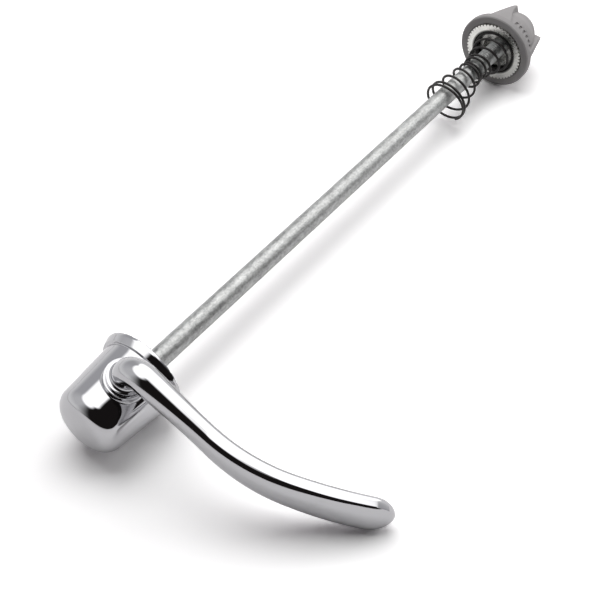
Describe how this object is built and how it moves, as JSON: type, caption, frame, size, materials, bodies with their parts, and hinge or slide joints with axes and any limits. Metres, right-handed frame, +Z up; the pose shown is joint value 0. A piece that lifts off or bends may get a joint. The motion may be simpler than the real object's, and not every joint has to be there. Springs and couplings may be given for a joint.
{
  "type": "quick release skewer",
  "caption": "Quick release skewer with a curved cam lever, a cup-shaped cam housing, a slim rod, conical springs and a winged clamp nut, for a hollow bicycle axle.",
  "frame": {"origin": "on the rod's axis at the clamp face of the cam housing", "axes": "+X along the rod from the cam housing to the nut, +Z up, with the skewer lying on the floor as it comes to rest on the lever's tip, the housing's flange and the nut's rim"},
  "size_m": [0.1865, 0.0751, 0.0282],
  "materials": {
    "bright_chrome": "mirror polished",
    "rod_steel": "satin plated",
    "plated_steel": "bright zinc",
    "spring_black": "black oxide",
    "grey_moulding": "matte"
  },
  "bodies": {
    "housing": {"cam_housing": "bright_chrome"},
    "lever": {"lever": "bright_chrome", "shaft_washer": "plated_steel", "retaining_ring": "spring_black"},
    "rod": {"skewer_rod": "rod_steel"},
    "nut_spring": {"nut_spring": "spring_black"},
    "nut": {"nut_insert": "plated_steel", "nut_cover": "grey_moulding"},
    "lever_spring": {"lever_spring": "spring_black"}
  },
  "joints": [
    {"name": "lever_turn", "type": "hinge", "parent": "housing", "child": "lever", "pos_m": [-0.0087, 0, 0], "axis": [0, 0.3765, -0.9264], "range_deg": [0, 180]},
    {"name": "rod_slide", "type": "slide", "parent": "housing", "child": "rod", "axis": [1, 0, 0], "range_m": [0, 0.00241]},
    {"name": "nut_travel", "type": "slide", "parent": "rod", "child": "nut_spring", "axis": [-1, 0, 0], "range_m": [-0.00241, 0.00721]},
    {"name": "nut_turn", "type": "hinge", "parent": "nut_spring", "child": "nut", "pos_m": [0.1492, 0, 0], "axis": [-1, 0, 0], "range_deg": [-1080, 3240]},
    {"name": "lever_spring_slide", "type": "slide", "parent": "nut_spring", "child": "lever_spring", "axis": [-1, 0, 0], "range_m": [0, 0.114]}
  ],
  "couplings": [
    {"joint": "rod_slide", "follows": "lever_turn", "m_per_rad": 0.00076394},
    {"joint": "nut_travel", "follows": "nut_turn", "m_per_rad": 0.00012732}
  ]
}
